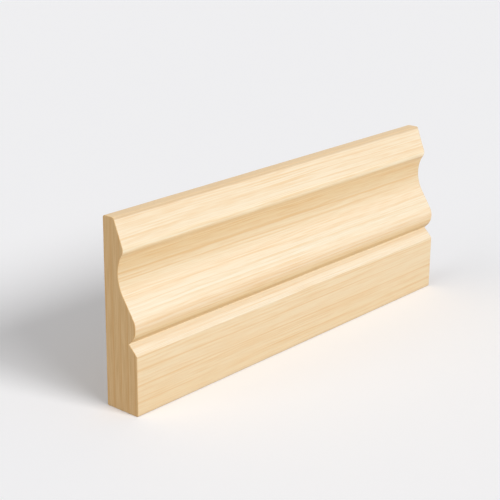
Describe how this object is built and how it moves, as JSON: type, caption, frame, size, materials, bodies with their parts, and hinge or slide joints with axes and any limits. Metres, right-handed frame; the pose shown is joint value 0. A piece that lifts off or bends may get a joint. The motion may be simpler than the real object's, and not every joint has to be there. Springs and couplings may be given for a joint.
{
  "type": "architrave",
  "caption": "Short straight length of softwood ogee architrave: splayed thin edge, nose, cove and ovolo, a quirk and a flat plinth, with a flat back.",
  "frame": {"origin": "under the middle of the piece, in the plane of the thick edge that it stands on", "axes": "+X along the length, +Y out of the flat back, -Y out of the moulded face, +Z from the thick edge up to the thin edge"},
  "size_m": [0.175, 0.015, 0.069],
  "materials": {
    "softwood": "planed bare pine, satin, with the cutter's fine ripple and the saw's marks on the ends"
  },
  "bodies": {
    "root": {"architrave_moulding": "softwood"}
  },
  "joints": []
}
